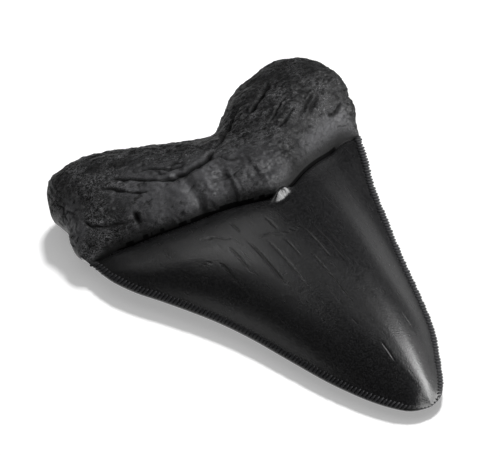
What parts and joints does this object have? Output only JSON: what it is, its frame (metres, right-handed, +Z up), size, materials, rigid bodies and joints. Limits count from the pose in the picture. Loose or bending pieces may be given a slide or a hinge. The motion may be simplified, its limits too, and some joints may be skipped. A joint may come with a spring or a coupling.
{
  "type": "fossil megalodon tooth",
  "caption": "Broad triangular fossil shark tooth lying flat: thick rough two-lobed root, smooth convex crown with finely serrated cutting edges.",
  "frame": {"origin": "on the surface the tooth lies on, under the middle of its outline", "axes": "+Y from the tip towards the root, +X across the tooth, +Z up from the flat outer face towards the convex inner face"},
  "size_m": [0.0926, 0.1206, 0.0239],
  "materials": {
    "fossil": "mineralised black: rough matt root, satin polished enamel on the crown"
  },
  "bodies": {
    "root": {"tooth": "fossil"}
  },
  "joints": []
}
